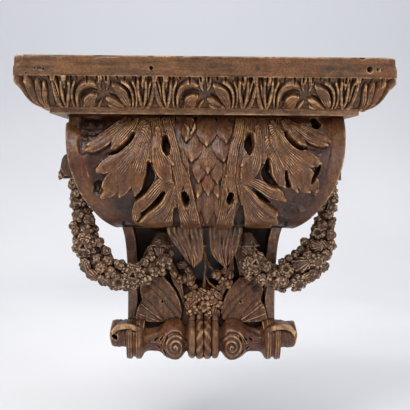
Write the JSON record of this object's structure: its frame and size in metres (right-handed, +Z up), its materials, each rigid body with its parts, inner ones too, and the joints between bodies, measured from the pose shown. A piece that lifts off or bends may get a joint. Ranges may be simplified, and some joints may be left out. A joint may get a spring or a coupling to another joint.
{
  "type": "carved wooden corbel bracket",
  "caption": "Carved wooden corbel bracket: a leaf-moulded shelf on a scrolled acanthus body with a flower garland hung on each side.",
  "frame": {"origin": "on the flat back that goes against the wall, on the shelf's centre line, 110 mm below the shelf's top", "axes": "+Z up, +Y into the wall so the front faces -Y, +X to the right seen from the front"},
  "size_m": [0.48, 0.25, 0.4105],
  "materials": {
    "shelf_wood": "worn brown stain, nearly matt, with nail holes and worm holes",
    "carved_wood": "old satin varnish, golden on the high carving and dark red-brown in the ground",
    "garland_wood": "dusty grey-brown, matt"
  },
  "bodies": {
    "root": {"moulded_shelf": "shelf_wood", "corbel_body": "carved_wood", "garland_left": "garland_wood", "garland_right": "garland_wood"}
  },
  "joints": []
}
